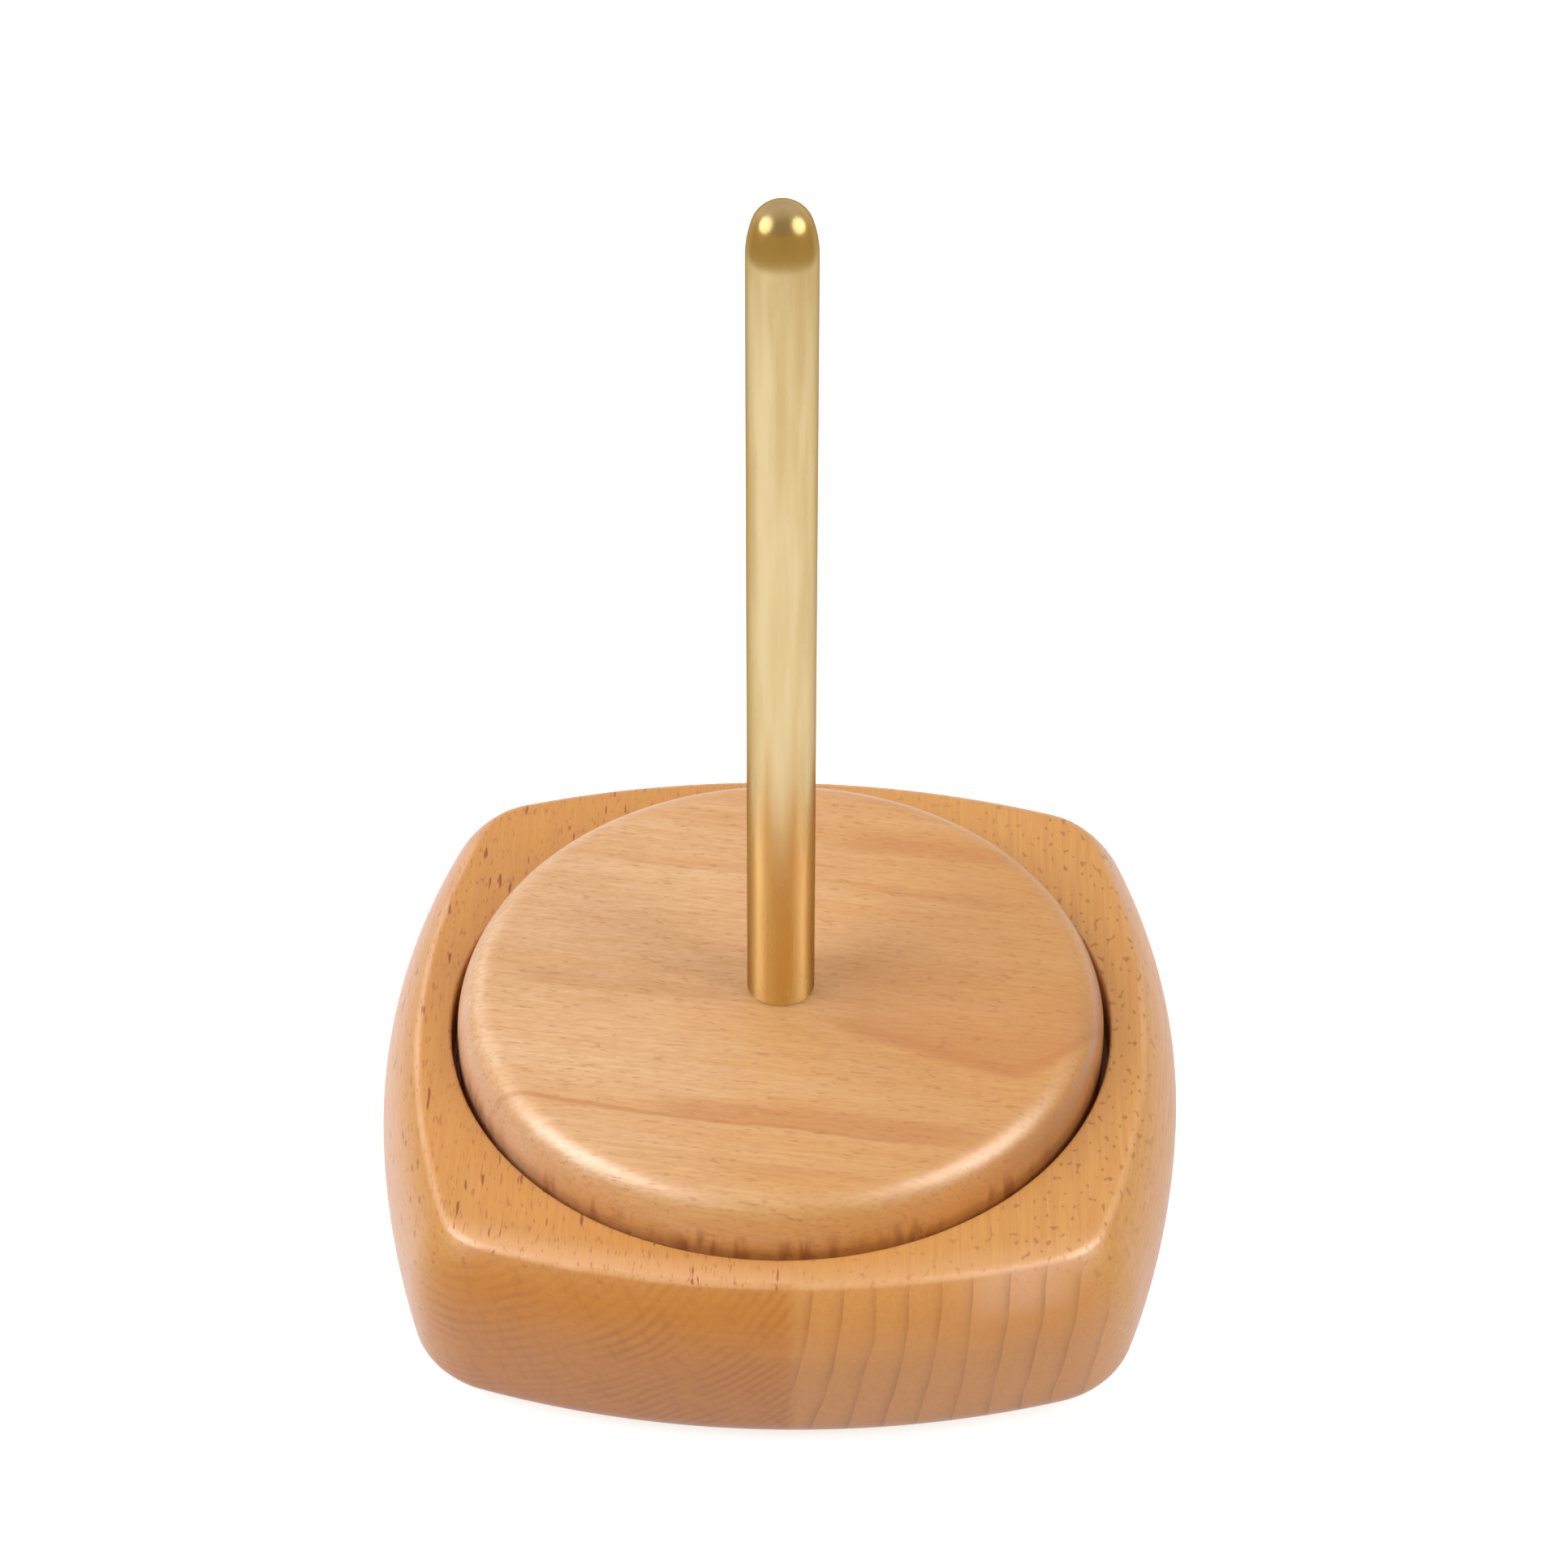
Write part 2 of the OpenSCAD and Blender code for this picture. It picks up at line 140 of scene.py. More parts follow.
def tilt(start, end):
    """The angle of the line from one point to another."""
    return degrees(atan2(end[1] - start[1], end[0] - start[0]))


def outline(out):
    """The block's outline, moved outward: four side arcs and four corner arcs."""
    side_c = BLOCK_W / 2 - SIDE_R
    reach = SIDE_R - CORNER_R
    corner_c = (side_c + sqrt(2 * reach**2 - side_c**2)) / 2
    span = degrees(atan2(corner_c, corner_c - side_c))
    points = []
    for turn in (0, 90, 180, 270):
        side = turned((0, side_c), turn)
        corner = turned((-corner_c, corner_c), turn)
        up = turn + 90
        points += arc(side, SIDE_R + out, up - span, up + span, SIDE_STEPS)[:-1]
        points += arc(corner, CORNER_R + out, up + span, up + 90 - span, CORNER_STEPS)[:-1]
    return points


def wall_section():
    """The block's wall from its underside to its top, as (outward, up) points: a rounding, the
    crowned wall, the shoulder and the tight top edge."""
    wall_r = ((BLOCK_H / 2) ** 2 + WALL_CROWN**2) / (2 * WALL_CROWN)
    wall_c = (-wall_r, BLOCK_H / 2)
    low_in = wall_r - sqrt((wall_r - LOW_ROUND) ** 2 - (BLOCK_H / 2 - LOW_ROUND) ** 2)
    low_c = (-low_in, LOW_ROUND)
    top_c = (-TOP_IN, BLOCK_H - TOP_ROUND)
    reach = hypot(top_c[0] - wall_c[0], top_c[1] - wall_c[1])
    to_shoulder = wall_r - SHOULDER_R
    shoulder_cos = to_shoulder**2 + reach**2 - (SHOULDER_R - TOP_ROUND) ** 2
    shoulder_cos /= 2 * to_shoulder * reach
    shoulder_tilt = tilt(wall_c, top_c) - degrees(acos(shoulder_cos))
    step = radians(shoulder_tilt)
    shoulder_c = (wall_c[0] + to_shoulder * cos(step), wall_c[1] + to_shoulder * sin(step))
    low_tilt, top_tilt = tilt(wall_c, low_c), tilt(shoulder_c, top_c)
    wall = [(-low_in - KEEP_FLAT, 0)]
    wall += arc(low_c, LOW_ROUND, -90, low_tilt, ROUND_STEPS)[:-1]
    wall += arc(wall_c, wall_r, low_tilt, shoulder_tilt, WALL_STEPS)[:-1]
    wall += arc(shoulder_c, SHOULDER_R, shoulder_tilt, top_tilt, ROUND_STEPS)[:-1]
    wall += arc(top_c, TOP_ROUND, top_tilt, 90, ROUND_STEPS)
    return [*wall, (-TOP_IN - KEEP_FLAT, BLOCK_H)]


def shade(mesh):
    """Shades a mesh smooth, but for its sharp edges."""
    mesh.shade_smooth()
    mesh.set_sharp_from_angle(angle=radians(SHARP_ANGLE))


def skin(name, rings, closed=False):
    """An object over rings of points in millimetres. A ring of one point is a pole, and closed
    joins the last ring to the first."""
    work = bmesh.new()
    rows = [[work.verts.new(Vector(p) * MM) for p in ring] for ring in rings]
    pairs = list(zip(rows, rows[1:]))
    if closed:
        pairs.append((rows[-1], rows[0]))
    for one, two in pairs:
        for i in range(max(len(one), len(two))):
            a, b = one[i % len(one)], one[(i + 1) % len(one)]
            c, d = two[(i + 1) % len(two)], two[i % len(two)]
            # At a pole, two of the four are one point
            work.faces.new(list(dict.fromkeys((a, b, c, d))))
    bmesh.ops.recalc_face_normals(work, faces=work.faces)
    mesh = bpy.data.meshes.new(name)
    work.to_mesh(mesh)
    work.free()
    shade(mesh)
    made = bpy.data.objects.new(name, mesh)
    bpy.context.collection.objects.link(made)
    return made


def circle(radius, z, angles):
    """Points of a level circle, at these angles in radians."""
    return [(radius * cos(t), radius * sin(t), z) for t in angles]


def lathe(name, profile, steps, closed=False):
    """A round piece about the Z axis, from (radius, height) points."""
    angles = [2 * pi * i / steps for i in range(steps)]
    rings = [circle(r, z, angles) if r else [(0, 0, z)] for r, z in profile]
    return skin(name, rings, closed)


def cut_away(piece, cutters):
    """Cuts the cutters out of a piece, for good, and deletes them."""
    for cutter in cutters:
        step = piece.modifiers.new("cut", "BOOLEAN")
        step.operation = "DIFFERENCE"
        step.solver = "EXACT"
        step.object = cutter
    bpy.context.view_layer.update()
    whole = piece.evaluated_get(bpy.context.evaluated_depsgraph_get())
    mesh = bpy.data.meshes.new_from_object(whole)
    piece.modifiers.clear()
    piece.data = mesh
    shade(mesh)
    for cutter in cutters:
        bpy.data.objects.remove(cutter)


def moved(piece, x, y, z, flip=False):
    """A piece with its mesh moved, and first turned upside down if flipped."""
    turn = Matrix.Rotation(pi, 4, "X") if flip else Matrix()
    piece.data.transform(Matrix.Translation(Vector((x, y, z)) * MM) @ turn)
    return piece


def screw_room(at, d, head_d, length, z, turn, flip=False):
    """The room that a countersunk wood screw takes, which points down from height z, or up if
    flipped."""
    head_h = (head_d - d) / 2
    profile = [(0, CUT), (head_d / 2, CUT), (head_d / 2, 0), (d / 2, -head_h)]
    profile += [(d / 2, TIP_PART * d - length), (0, -length)]
    x, y = turned((at, 0), turn)
    return moved(lathe("cutter", profile, HOLE_STEPS), x, y, z, flip)


def base_block():
    """A closed loop of rings: over the top, down the recess and its bores, and up the wall."""
    recess_r = DISC_R + RIM_GAP
    recess_z = disc_low.z - FLOOR_GAP
    top_z = block_high.z
    plug_z = block_low.z + PLUG_T
    plate_r = (plate_high.x - plate_low.x) / 2 + WOOD_GAP
    pocket_r = (ring_high.x - ring_low.x) / 2
    plug_r = (plug_high.x - plug_low.x) / 2 + WOOD_GAP
    mouth_c = (recess_r + MOUTH_ROUND, top_z - MOUTH_ROUND)
    bore = [(mouth_c[0] + KEEP_FLAT, top_z), *arc(mouth_c, MOUTH_ROUND, 90, 180, MOUTH_STEPS)]
    bore += [(recess_r, recess_z + KEEP_FLAT), (recess_r, recess_z)]
    bore += [(recess_r - KEEP_FLAT, recess_z), (plate_r, recess_z), (plate_r, plate_low.z)]
    bore += [(pocket_r, plate_low.z), (pocket_r, ring_low.z), (LEDGE_R, ring_low.z)]
    bore += [(LEDGE_R, plug_z), (plug_r, plug_z), (plug_r, block_low.z)]

    rings = [[(x, y, block_low.z + z) for x, y in outline(out)] for out, z in wall_section()]
    angles = [atan2(y, x) for x, y in outline(0)]
    rings += [circle(r, z, angles) for r, z in bore]
    piece = skin("block", rings, closed=True)

    foot_r = (foot_high.x - foot_low.x) / 2 + WOOD_GAP
    foot_room = [(0, foot_high.z), (foot_r, foot_high.z), (foot_r, 0), (0, 0)]
    rooms = [
        moved(lathe("cutter", foot_room, HOLE_STEPS), x * FOOT_AT, y * FOOT_AT, 0) for x, y in FEET
    ]
    rooms += [screw_room(**PLATE_SCREW, z=recess_z, turn=turn) for turn in SCREW_TURNS]
    cut_away(piece, rooms)
    return piece


def turntable_disc():
    """A disc with a two-arc edge, its stud's bore, and the hub's recess underneath."""
    long_r = (EDGE_W**2 + EDGE_H**2 - 2 * EDGE_H * EDGE_R) / (2 * (EDGE_W - EDGE_R))
    tight, long = (DISC_R - EDGE_W, DISC_T - EDGE_R), (DISC_R - long_r, DISC_T - EDGE_H)
    meet = tilt(long, tight)
    bore_r = STUD_R + WOOD_GAP
    boss_r = BOSS_R + WOOD_GAP
    flange_r = (hub_high.x - hub_low.x) / 2 + WOOD_GAP
    boss_top = hub_high.z - disc_low.z
    under_r = DISC_R - UNDER_ROUND
    profile = [(bore_r, boss_top), (boss_r, boss_top), (boss_r, FLANGE_T)]
    profile += [(flange_r, FLANGE_T), (flange_r, 0), (under_r - KEEP_FLAT, 0)]
    profile += arc((under_r, UNDER_ROUND), UNDER_ROUND, -90, 0, MOUTH_STEPS)
    profile += arc(long, long_r, 0, meet, 2 * ROUND_STEPS)[:-1]
    profile += arc(tight, EDGE_R, meet, 90, 2 * ROUND_STEPS)
    profile += [(tight[0] - KEEP_FLAT, DISC_T), (bore_r + KEEP_FLAT, DISC_T), (bore_r, DISC_T)]
    piece = moved(lathe("turntable", profile, CIRCLE_STEPS, closed=True), 0, 0, disc_low.z)
    rooms = [screw_room(**HUB_SCREW, z=disc_low.z, turn=t, flip=True) for t in SCREW_TURNS]
    cut_away(piece, rooms)
    return piece


def spindle():
    """A straight rod with a blind bore for its stud, and a slender two-arc tip."""
    height = rod_high.z - rod_low.z
    tip_z = height - TIP_R
    side_h = tip_z - sqrt((TIP_LONG_R - TIP_R) ** 2 - (TIP_LONG_R - ROD_R) ** 2)
    flank_c = (ROD_R - TIP_LONG_R, side_h)
    meet = tilt(flank_c, (0, tip_z))
    bore_h = stud_high.z - rod_low.z + TAP_GAP
    profile = [(0, bore_h), (STUD_R, bore_h), (STUD_R, 0)]
    profile += [(ROD_R - ROD_BEVEL, 0), (ROD_R, ROD_BEVEL), (ROD_R, side_h / 2)]
    profile += arc(flank_c, TIP_LONG_R, 0, meet, ROUND_STEPS)[:-1]
    profile += arc((0, tip_z), TIP_R, meet, 90, 2 * ROUND_STEPS)[:-1]
    profile += [(0, height)]
    return moved(lathe("spindle", profile, ROD_STEPS), 0, 0, rod_low.z)


class Paint:
    """A material in the making: its nodes by short calls, and coordinates in millimetres."""

    def __init__(self, name):
        self.material = bpy.data.materials.new(name)
        self.material.use_nodes = True
        self.tree = self.material.node_tree
        self.tree.nodes.clear()
        self.output = self.tree.nodes.new("ShaderNodeOutputMaterial")

    def link(self, socket, value):
        """Puts a value on a socket, or links one to it."""
        if isinstance(value, bpy.types.NodeSocket):
            self.tree.links.new(value, socket)
        else:
            socket.default_value = value

    def node(self, kind, inputs=(), **settings):
        made = self.tree.nodes.new("ShaderNode" + kind)
        for name, value in settings.items():
            setattr(made, name, value)
        for key, value in dict(inputs).items():
            self.link(made.inputs[key], value)
        return made

    def math(self, operation, *values):
        return self.node("Math", dict(enumerate(values)), operation=operation).outputs[0]

    def plus(self, one, two):
        return self.math("ADD", one, two)

    def minus(self, one, two):
        return self.math("SUBTRACT", one, two)

    def most(self, one, two):
        return self.math("MAXIMUM", one, two)

    def times(self, first, *others):
        for value in others:
            first = self.math("MULTIPLY", first, value)
        return first

    def away(self, value, middle):
        """How far a value is from a middle, either way."""
        return self.math("ABSOLUTE", self.minus(value, middle))

    def place(self, scale=(1, 1, 1), shift=(0, 0, 0), turn=0):
        """Object coordinates in millimetres, shifted, then turned about Z, then scaled."""
        coords = self.node("TexCoord").outputs["Object"]
        in_mm = self.node("VectorMath", {0: coords, 3: 1 / MM}, operation="SCALE").outputs[0]
        back = self.node("VectorMath", {0: in_mm, 1: shift}, operation="SUBTRACT").outputs[0]
        turn_z = (0, 0, radians(turn))
        spun = self.node("Mapping", {"Vector": back, "Rotation": turn_z}).outputs[0]
        return self.node("VectorMath", {0: spun, 1: scale}, operation="MULTIPLY").outputs[0]

    def facing(self):
        """The surface's direction in object coordinates, as X, Y and Z."""
        return self.axes(self.node("TexCoord").outputs["Normal"])

    def axes(self, vector):
        return self.node("SeparateXYZ", {0: vector}).outputs

    def noise(self, vector, scale=1, detail=2, roughness=0.5):
        inputs = {"Vector": vector, "Scale": scale, "Detail": detail, "Roughness": roughness}
        return self.node("TexNoise", inputs).outputs["Fac"]

    def streaks(self, scale, detail=2, roughness=0.5, shift=(0, 0, 0), turn=0):
        """Noise in object coordinates. The smaller its scale along an axis, the longer it runs."""
        return self.noise(self.place(scale, shift, turn), detail=detail, roughness=roughness)

    def between(self, value, low, high, to_low=0, to_high=1):
        """A value mapped smoothly from one range to another, and kept in it."""
        inputs = {
            "Value": value, "From Min": low, "From Max": high, "To Min": to_low, "To Max": to_high
        }
        return self.node("MapRange", inputs, interpolation_type="SMOOTHSTEP").outputs[0]

    def mix(self, share, one, two):
        made = self.node("Mix", data_type="RGBA")
        for key, value in ((0, share), (6, one), (7, two)):
            self.link(made.inputs[key], value)
        return made.outputs[2]

    def layer(self, colour, over, *shares):
        """A colour with another over it, as strong as the product of the shares."""
        return self.mix(self.times(*shares), colour, over)

    def bump(self, height, strength, distance):
        inputs = {"Height": height, "Strength": strength, "Distance": distance * MM}
        return self.node("Bump", inputs).outputs[0]

    def surface(self, shader):
        self.tree.links.new(shader, self.output.inputs["Surface"])
        return self.material

    def principled(self, **inputs):
        """The material, from a Principled shader's inputs by name: base_color is Base Color."""
        titles = [key.replace("_", " ").title().replace("Ior", "IOR") for key in inputs]
        shader = self.node("BsdfPrincipled", dict(zip(titles, inputs.values())))
        return self.surface(shader.outputs[0])


def rgb(red, green, blue):
    """A colour as it is seen on screen, 0 to 255, in Blender's linear values."""
    parts = [c / 255 for c in (red, green, blue)]
    return *(p / 12.92 if p <= 0.04045 else ((p + 0.055) / 1.055) ** 2.4 for p in parts), 1


def lacquered(p, colour, relief, roughness):
    """Wood under a clear satin lacquer, which gives it a second, smoother gloss."""
    return p.principled(
        base_color=colour, roughness=roughness, specular_ior_level=0.15,
        normal=p.bump(relief, strength=0.25, distance=0.12),
        coat_weight=1.0, coat_roughness=0.4, coat_ior=1.55,
        coat_normal=p.bump(relief, strength=0.1, distance=0.05),
    )


# The block's seam, as the ends of the soft step in X from its left board to its right one
SEAM = (1.5, 4.5)
# For each board the middle of its tree in X and Z, and how far its rings stray from round. The tree
# runs along Y
LEFT_PITH = dict(x=-62, z=79.5, stray=7)
RIGHT_PITH = dict(x=-129, z=33.5, stray=6)
LEFT_RING_W = 1.5
RIGHT_RING_W = 4.9
# The pores grow stronger to the right between these, on the right board
DOTS_X = (20, 46)
# A painted highlight, a pale strip of the top, fades in between these, toward its front edge
HIGHLIGHT_STRIP_Y = (-48.5, -53.5)
# The middle of a painted highlight, a pale patch under that strip
CORNER_HIGHLIGHT_X = 36
BLOCK_TONES = {
    "dark ground": rgb(213, 155, 75),
    "pale ground": rgb(222, 169, 89),
    "left board": rgb(207, 146, 62),
    "fibre": rgb(196, 129, 62),
    "left end": rgb(203, 126, 52),
    "right end": rgb(220, 148, 86),
    "rays": rgb(164, 94, 40),
    "pale rays": rgb(222, 158, 100),
    # Partly sanding, partly a painted highlight along the top's crease and front strip
    "edge": rgb(244, 194, 150),
    # A painted sheen on the block's left wall
    "painted left wall sheen": rgb(234, 206, 184),
    # A painted highlight on the shoulder at the front right corner
    "corner_highlight": rgb(238, 192, 164),
    "rings": rgb(150, 84, 36),
    "pores": rgb(140, 62, 6),
}


def beech_block():
    """Two boards glued along a line just right of the axis, the grain running front to back."""
    p = Paint("beech_block")
    tone = BLOCK_TONES
    x, y, z = p.axes(p.place())
    facing_x, facing_y, facing_z = p.facing()
    end_grain = p.between(p.math("ABSOLUTE", facing_y), 0.5, 0.9)
    right = p.between(x, *SEAM)
    left = p.minus(1, right)
    wander = p.streaks((0.03, 0.008, 0.03), detail=3)

    def from_pith(pith):
        """Distance and angle from the middle of the tree, a little out of round."""
        dx = p.minus(x, pith["x"])
        dz = p.minus(z, pith["z"])
        radius = p.math("SQRT", p.plus(p.times(dx, dx), p.times(dz, dz)))
        return p.plus(radius, p.times(wander, pith["stray"])), p.math("ARCTAN2", dz, dx)

    # Growth rings, strong on the ends: close waves on the left board, and on the right one wide
    # bands that darken to a sharp line
    patchy = p.between(p.streaks((0.09, 0.02, 0.12), detail=3), 0.3, 0.7)
    radius, angle = from_pith(LEFT_PITH)
    waves = p.math("SINE", p.times(radius, 2 * pi / LEFT_RING_W))
    left_rings = p.times(p.between(waves, -0.6, 1, 0, 0.65), patchy)
    right_turn = p.math("FRACT", p.math("DIVIDE", from_pith(RIGHT_PITH)[0], RIGHT_RING_W))
    right_rings = p.times(p.math("POWER", right_turn, 6), p.between(patchy, 0, 1, 0.6, 1.1))
    rings = p.mix(right, left_rings, right_rings)
    rings = p.times(rings, p.between(end_grain, 0, 1, 0.06, 0.46))

    # Rays: dark ones on the left board's end, which point at the middle of its tree, and pale ones
    # that run across both ends
    polar = p.node("CombineXYZ", {0: p.times(radius, 0.22), 1: p.times(angle, 60)}).outputs[0]
    rays = p.times(p.between(p.noise(polar), 0.48, 0.7), left)
    pale_rays = p.between(p.streaks((0.12, 1.4, 1.8)), 0.35, 0.7)

    # Pores: dashes of two lengths on the left board, and dots on the right one, weaker where the
    # surface leaves the level and none on the ends
    short = p.between(p.streaks((2.3, 0.42, 2.3), detail=1), 0.61, 0.7)
    long = p.between(p.streaks((1.2, 0.17, 1.2), detail=1, shift=(7, 3, 0)), 0.66, 0.73)
    dashes = p.most(p.times(short, 0.38), p.times(long, 0.85))
    dashes = p.times(dashes, p.between(facing_z, 0.2, 0.85, 0.4, 1))
    dots = p.between(p.streaks((1.1, 0.7, 1.1), detail=0, shift=(40, 0, 0)), 0.66, 0.76)
    dots = p.times(dots, p.between(x, *DOTS_X, 0.22, 0.5), p.between(facing_z, 0.3, 0.9, 0.25, 1))
    pores = p.times(p.mix(right, dashes, dots), p.minus(1, end_grain))

    # The sanded edge round the top is a little paler, partly as a painted highlight along its
    # crease, and most so along the front
    wear_and_sheen = p.between(p.streaks((0.12, 0.12, 0.12)), 0.35, 0.65, 0.04, 0.3)
    edge = p.times(p.between(facing_z, 0.66, 0.82), p.between(facing_z, 0.93, 0.995, 1, 0), wear_and_sheen)
    bulge = p.times(x, x, 1 / (2 * SIDE_R))
    # A painted highlight strip along the front of the top, weaker on the right board
    highlight_strip = p.between(p.minus(y, bulge), *HIGHLIGHT_STRIP_Y, 0, 0.4)
    highlight_strip = p.times(highlight_strip, p.between(facing_z, 0.9, 0.98), p.between(right, 0, 1, 1, 0.55))

    # So is a streaky patch of the shoulder under it, at the front right corner: a painted highlight
    fibre = p.streaks((1.6, 0.06, 1.6), detail=4, roughness=0.7)
    corner_highlight = p.times(
        p.between(p.away(x, CORNER_HIGHLIGHT_X), 2, 12, 0.5, 0),
        p.between(facing_z, 0.3, 0.55), p.between(facing_z, 0.8, 0.95, 1, 0),
        p.between(facing_y, -0.2, -0.5), p.between(fibre, 0.3, 0.6, 0.5, 1),
    )

    colour = p.mix(p.streaks((0.035, 0.012, 0.05)), tone["dark ground"], tone["pale ground"])
    colour = p.layer(colour, tone["left board"], left, 0.7)
    colour = p.layer(colour, tone["fibre"], p.between(fibre, 0.25, 0.75), 0.55)
    end_tone = p.mix(right, tone["left end"], tone["right end"])
    colour = p.layer(colour, end_tone, end_grain, p.between(right, 0, 1, 0.62, 0.5))
    colour = p.layer(colour, tone["rays"], rays, end_grain, 0.2)
    colour = p.layer(colour, tone["pale rays"], pale_rays, end_grain, 0.15)
    # Painted highlights along the crease and the front strip, over some paleness from sanding
    colour = p.layer(colour, tone["edge"], p.most(edge, highlight_strip))
    # A painted sheen, paler and pinker, on faces that point left
    colour = p.layer(colour, tone["painted left wall sheen"], p.between(facing_x, -0.7, -0.97, 0, 0.34))
    colour = p.layer(colour, tone["corner_highlight"], corner_highlight)
    colour = p.layer(colour, tone["rings"], rings)
    colour = p.layer(colour, tone["pores"], pores)
    fine = p.streaks((4, 0.25, 4))
    relief = p.plus(p.times(fine, 0.5), p.times(pores, -0.8))
    return lacquered(p, colour, relief, p.between(fibre, 0.2, 0.8, 0.4, 0.55))


# The turntable's grain runs left to right, with this slope
GRAIN = 8
# Its darker bands lie along the grain: distance across, half width, from, to, strength
BANDS = [
    (-29.3, 0.55, -46, 30, 0.5),
    (-27.2, 2.2, -14, 34, 0.4),
    (-3.5, 1.6, -40, -6, 0.28),
    (12.5, 1.2, -30, -12, 0.15),
    (24.4, 1.0, -32, -6, 0.18),
    (33.2, 2.0, 4, 32, 0.3),
    (22.8, 1.2, 6, 34, 0.22),
    (9, 3.0, -34, -14, 0.12),
    (-38, 1.2, -10, 24, 0.15),
]
# How far a band fades in and out, before and after each of its ends
FADE_IN = (-4, 6)
FADE_OUT = (-8, 6)
# The front edge of its darker field: how far across the grain it lies at the spindle, its slope,
# where along the grain it starts to bow backward, and how much
FIELD_AT = -5.6
FIELD_SLOPE = -0.235
BOW_AT = 35
BOW = 0.1
# The rim's tone changes between these on the left, to a painted reflection, and on the right
RIM_LEFT = (-44, -22)
RIM_RIGHT = (22, 44)
# The dark strokes of the rim fade in between these, down from the top
STROKES_Z = (-3.2, -6.5)
TURNTABLE_TONES = {
    "pale ground": rgb(231, 195, 149),
    "dark ground": rgb(221, 174, 119),
    "right side": rgb(207, 146, 58),
    "fibre": rgb(196, 134, 76),
    "ripple": rgb(186, 120, 62),
    "field": rgb(184, 114, 50),
    "bands": rgb(184, 112, 50),
    # A painted reflection on the left of the rim
    "painted left rim reflection": rgb(208, 168, 152),
    "front rim": rgb(220, 144, 62),
    "right rim": rgb(150, 90, 44),
    "strokes": rgb(140, 74, 24),
    "flecks": rgb(162, 92, 40),
}


def beech_turntable():
    """Paler beech, the grain running left to right with a slight slope."""
    p = Paint("beech_turntable")
    tone = TURNTABLE_TONES
    along, across, _ = p.axes(p.place(turn=GRAIN))
    wander = p.streaks((0.02, 0.05, 0.05), detail=3, turn=GRAIN)
    drift = p.plus(across, p.between(wander, 0.2, 0.8, -1.6, 1.6))

    bands = 0
    for middle, half, start, end, strength in BANDS:
        band = p.times(
            p.between(p.away(drift, middle), half * 0.4, half * 1.5, strength, 0),
            p.between(along, start + FADE_IN[0], start + FADE_IN[1]),
            p.between(along, end + FADE_OUT[0], end + FADE_OUT[1], 1, 0),
        )
        bands = p.most(bands, band)

    # A darker field to the right of the spindle, darkest along its front edge
    bow = p.most(p.minus(along, BOW_AT), 0)
    edge = p.plus(p.plus(FIELD_AT, p.times(along, FIELD_SLOPE)), p.times(bow, bow, BOW))
    into = p.minus(drift, edge)
    field = p.times(p.between(into, -1.5, 1.5), p.between(into, 2, 26, 0.7, 0))
    hem = p.between(p.away(into, 1.4), 0.3, 3.2, 1, 0)
    field = p.times(p.most(field, hem), p.between(along, 4, 14))

    # The rim shows end grain, with dark strokes low down, and a painted reflection on its left
    x, _, z = p.axes(p.place())
    rim = p.between(p.facing()[2], 0.8, 0.3)
    strokes = p.times(
        p.between(p.streaks((0.5, 0.5, 0.12)), 0.44, 0.68),
        p.between(p.streaks((0.09, 0.09, 0.02), detail=1), 0.38, 0.54),
        p.between(p.minus(z, disc_high.z), *STROKES_Z),
    )
    rim_tone = p.mix(p.between(x, *RIM_LEFT), tone["painted left rim reflection"], tone["front rim"])
    rim_tone = p.mix(p.between(x, *RIM_RIGHT), rim_tone, tone["right rim"])

    figure = p.streaks((0.012, 0.2, 0.2), detail=4, roughness=0.6, turn=GRAIN)
    fibre = p.streaks((0.09, 1.6, 1.6), detail=4, roughness=0.7, turn=GRAIN)
    ripple = p.streaks((0.45, 2.1, 2.1), turn=GRAIN - 6)
    fine = p.streaks((0.3, 4, 4), turn=GRAIN)
    flecks = p.between(p.streaks((0.5, 1.8, 1.8), detail=1, turn=GRAIN), 0.63, 0.72)
    colour = p.mix(p.between(figure, 0.3, 0.7), tone["pale ground"], tone["dark ground"])
    colour = p.layer(colour, tone["right side"], p.between(along, -40, 45, 0, 0.7))
    colour = p.layer(colour, tone["fibre"], p.between(fibre, 0.25, 0.75), 0.4)
    colour = p.layer(colour, tone["ripple"], p.between(ripple, 0.4, 0.7), 0.24)
    colour = p.layer(colour, tone["field"], field, 0.55)
    colour = p.layer(colour, tone["bands"], bands)
    colour = p.layer(colour, rim_tone, rim, p.between(x, 18, 44, 0.4, 0.6))
    colour = p.layer(colour, tone["strokes"], strokes, 0.6)
    colour = p.layer(colour, tone["flecks"], flecks, 0.32)
    relief = p.plus(p.times(fine, 0.5), p.times(flecks, -0.6))
    return lacquered(p, colour, relief, p.between(fibre, 0.2, 0.8, 0.34, 0.48))


def brass():
    """Polished brass with faint draw marks along it."""
    p = Paint("polished_brass")
    marks = p.streaks((2.2, 2.2, 0.02))
    haze = p.streaks((0.35, 0.35, 0.03))
    return p.principled(
        base_color=p.mix(p.between(haze, 0.3, 0.7), rgb(226, 206, 152), rgb(216, 192, 132)),
        metallic=1.0, roughness=p.between(haze, 0.3, 0.7, 0.22, 0.3),
        specular_tint=(0.5, 0.42, 0.32, 1), normal=p.bump(marks, strength=0.1, distance=0.02),
    )


def metal(name, colour, shade, roughness):
    """A plain metal, slightly uneven in tone and polish."""
    p = Paint(name)
    tone = p.noise(p.place(), scale=1.5, detail=3)
    marks = p.streaks((0.3, 0.3, 6))
    return p.principled(
        base_color=p.mix(tone, colour, shade), metallic=1.0,
        roughness=p.between(tone, 0.3, 0.7, roughness * 0.8, roughness * 1.25),
        normal=p.bump(marks, strength=0.1, distance=0.02),
    )


